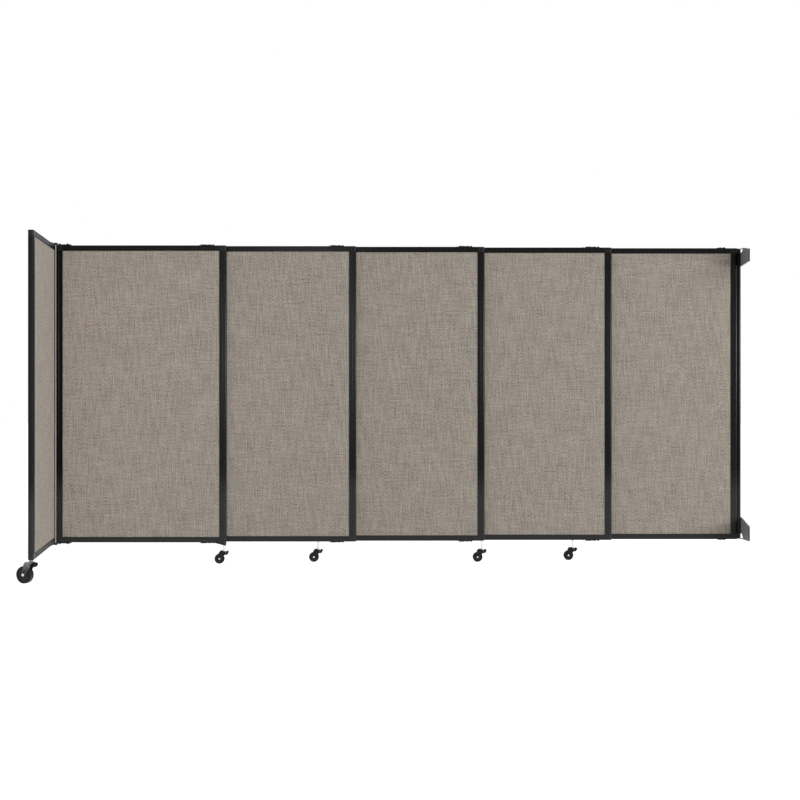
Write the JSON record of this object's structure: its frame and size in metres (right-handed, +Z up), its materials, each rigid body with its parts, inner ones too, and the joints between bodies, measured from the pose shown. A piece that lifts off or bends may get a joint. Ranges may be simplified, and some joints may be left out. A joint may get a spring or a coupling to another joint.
{
  "type": "sliding room divider",
  "caption": "Telescoping room divider: black-framed fabric panels slide behind one another on casters, pivot from a wall and end in a hinged panel.",
  "frame": {"origin": "on the floor, under the middle of the whole divider as set up", "axes": "+X along the panels towards the wall, +Y from the front panel back to the wall panel, +Z up"},
  "size_m": [3.3454, 1.0244, 1.5361],
  "materials": {
    "black_aluminium": "satin black anodised",
    "taupe_fabric": "plain slubbed weave",
    "black_plastic": "moulded black",
    "black_tread": "smooth black tread",
    "bright_steel": "bright zinc plated",
    "grey_steel": "pressed and plated, dulled",
    "black_steel": "black powder coat",
    "bush_plastic": "plain bearing plastic"
  },
  "bodies": {
    "wall_brackets": {"wall_bracket_top": "black_steel", "wall_bracket_bottom": "black_steel", "wall_pivot_bushes": "bush_plastic"},
    "panel_5": {"panel_5_stiles_and_rails": "black_aluminium", "panel_5_corner_blocks": "black_plastic", "panel_5_board": "taupe_fabric", "panel_5_glide_brackets": "black_plastic", "panel_5_screws": "black_steel", "panel_5_caster_stems": "bright_steel", "wall_pivot_post": "black_aluminium"},
    "panel_4": {"panel_4_stiles_and_rails": "black_aluminium", "panel_4_corner_blocks": "black_plastic", "panel_4_board": "taupe_fabric", "panel_4_glide_brackets": "black_plastic", "panel_4_screws": "black_steel"},
    "panel_3": {"panel_3_stiles_and_rails": "black_aluminium", "panel_3_corner_blocks": "black_plastic", "panel_3_board": "taupe_fabric", "panel_3_glide_brackets": "black_plastic", "panel_3_screws": "black_steel", "panel_3_caster_stems": "bright_steel"},
    "panel_2": {"panel_2_stiles_and_rails": "black_aluminium", "panel_2_corner_blocks": "black_plastic", "panel_2_board": "taupe_fabric", "panel_2_glide_brackets": "black_plastic", "panel_2_screws": "black_steel"},
    "panel_1": {"panel_1_stiles_and_rails": "black_aluminium", "panel_1_corner_blocks": "black_plastic", "panel_1_board": "taupe_fabric", "panel_1_glide_brackets": "black_plastic", "panel_1_screws": "black_steel", "panel_1_caster_stems": "bright_steel", "end_hinge_fixed_leaves": "black_steel"},
    "end_panel": {"end_panel_stiles_and_rails": "black_aluminium", "end_panel_corner_blocks": "black_plastic", "end_panel_board": "taupe_fabric", "end_panel_screws": "black_steel", "end_panel_caster_stems": "bright_steel", "end_hinge_moving_leaves": "black_steel"},
    "end_caster_fork": {"end_caster_fork": "grey_steel", "end_caster_axle": "bright_steel"},
    "end_caster_wheel": {"end_caster_wheel": "black_tread"},
    "end_caster_brake_pedal": {"end_caster_brake_pedal": "black_plastic"},
    "panel_1_caster_fork": {"panel_1_caster_fork": "black_steel", "panel_1_caster_axle": "bright_steel"},
    "panel_1_caster_wheel": {"panel_1_caster_wheel": "black_tread"},
    "panel_1_caster_brake_pedal": {"panel_1_caster_brake_pedal": "black_plastic"},
    "panel_3_left_caster_fork": {"panel_3_left_caster_fork": "black_steel", "panel_3_left_caster_axle": "bright_steel"},
    "panel_3_left_caster_wheel": {"panel_3_left_caster_wheel": "black_tread"},
    "panel_3_left_caster_brake_pedal": {"panel_3_left_caster_brake_pedal": "black_plastic"},
    "panel_3_right_caster_fork": {"panel_3_right_caster_fork": "black_steel", "panel_3_right_caster_axle": "bright_steel"},
    "panel_3_right_caster_wheel": {"panel_3_right_caster_wheel": "black_tread"},
    "panel_3_right_caster_brake_pedal": {"panel_3_right_caster_brake_pedal": "black_plastic"},
    "panel_5_caster_fork": {"panel_5_caster_fork": "black_steel", "panel_5_caster_axle": "bright_steel"},
    "panel_5_caster_wheel": {"panel_5_caster_wheel": "black_tread"},
    "panel_5_caster_brake_pedal": {"panel_5_caster_brake_pedal": "black_plastic"}
  },
  "joints": [
    {"name": "wall_pivot", "type": "hinge", "parent": "wall_brackets", "child": "panel_5", "pos_m": [1.65719, 0.49767, 0.102], "axis": [0, 0, 1], "range_deg": [-90, 30]},
    {"name": "panel_4_slide", "type": "slide", "parent": "panel_5", "child": "panel_4", "axis": [1, 0, 0], "range_m": [0, 0.5935]},
    {"name": "panel_3_slide", "type": "slide", "parent": "panel_4", "child": "panel_3", "axis": [1, 0, 0], "range_m": [0, 0.5935]},
    {"name": "panel_2_slide", "type": "slide", "parent": "panel_3", "child": "panel_2", "axis": [1, 0, 0], "range_m": [0, 0.5935]},
    {"name": "panel_1_slide", "type": "slide", "parent": "panel_2", "child": "panel_1", "axis": [1, 0, 0], "range_m": [0, 0.5935]},
    {"name": "end_panel_hinge", "type": "hinge", "parent": "panel_1", "child": "end_panel", "pos_m": [-1.64637, 0.31517, 0.102], "axis": [0, 0, -1], "range_deg": [-74.9, 95.1]},
    {"name": "end_caster_swivel", "type": "hinge", "parent": "end_panel", "child": "end_caster_fork", "pos_m": [-1.58895, -0.49142, 0], "axis": [0, 0, 1], "continuous": true},
    {"name": "end_caster_roll", "type": "hinge", "parent": "end_caster_fork", "child": "end_caster_wheel", "pos_m": [-1.61807, -0.48082, 0.0375], "axis": [0.342, 0.9397, 0], "continuous": true},
    {"name": "end_caster_brake", "type": "hinge", "parent": "end_caster_fork", "child": "end_caster_brake_pedal", "pos_m": [-1.60774, -0.48458, 0.0788], "axis": [0.342, 0.9397, 0], "range_deg": [0, 5.4]},
    {"name": "panel_1_caster_swivel", "type": "hinge", "parent": "panel_1", "child": "panel_1_caster_fork", "pos_m": [-0.84387, 0.32967, 0], "axis": [0, 0, 1], "continuous": true},
    {"name": "panel_1_caster_roll", "type": "hinge", "parent": "panel_1_caster_fork", "child": "panel_1_caster_wheel", "pos_m": [-0.86487, 0.32967, 0.0235], "axis": [0, 1, 0], "continuous": true},
    {"name": "panel_1_caster_brake", "type": "hinge", "parent": "panel_1_caster_fork", "child": "panel_1_caster_brake_pedal", "pos_m": [-0.85687, 0.32967, 0.05], "axis": [0, 1, 0], "range_deg": [0, 7.3]},
    {"name": "panel_3_left_caster_swivel", "type": "hinge", "parent": "panel_3", "child": "panel_3_left_caster_fork", "pos_m": [-0.39587, 0.41367, 0], "axis": [0, 0, 1], "continuous": true},
    {"name": "panel_3_left_caster_roll", "type": "hinge", "parent": "panel_3_left_caster_fork", "child": "panel_3_left_caster_wheel", "pos_m": [-0.41687, 0.41367, 0.0235], "axis": [0, 1, 0], "continuous": true},
    {"name": "panel_3_left_caster_brake", "type": "hinge", "parent": "panel_3_left_caster_fork", "child": "panel_3_left_caster_brake_pedal", "pos_m": [-0.40887, 0.41367, 0.05], "axis": [0, 1, 0], "range_deg": [0, 7.3]},
    {"name": "panel_3_right_caster_swivel", "type": "hinge", "parent": "panel_3", "child": "panel_3_right_caster_fork", "pos_m": [0.39613, 0.41367, 0], "axis": [0, 0, 1], "continuous": true},
    {"name": "panel_3_right_caster_roll", "type": "hinge", "parent": "panel_3_right_caster_fork", "child": "panel_3_right_caster_wheel", "pos_m": [0.37513, 0.41367, 0.0235], "axis": [0, 1, 0], "continuous": true},
    {"name": "panel_3_right_caster_brake", "type": "hinge", "parent": "panel_3_right_caster_fork", "child": "panel_3_right_caster_brake_pedal", "pos_m": [0.38313, 0.41367, 0.05], "axis": [0, 1, 0], "range_deg": [0, 7.3]},
    {"name": "panel_5_caster_swivel", "type": "hinge", "parent": "panel_5", "child": "panel_5_caster_fork", "pos_m": [0.84413, 0.49767, 0], "axis": [0, 0, 1], "continuous": true},
    {"name": "panel_5_caster_roll", "type": "hinge", "parent": "panel_5_caster_fork", "child": "panel_5_caster_wheel", "pos_m": [0.82313, 0.49767, 0.0235], "axis": [0, 1, 0], "continuous": true},
    {"name": "panel_5_caster_brake", "type": "hinge", "parent": "panel_5_caster_fork", "child": "panel_5_caster_brake_pedal", "pos_m": [0.83113, 0.49767, 0.05], "axis": [0, 1, 0], "range_deg": [0, 7.3]}
  ]
}
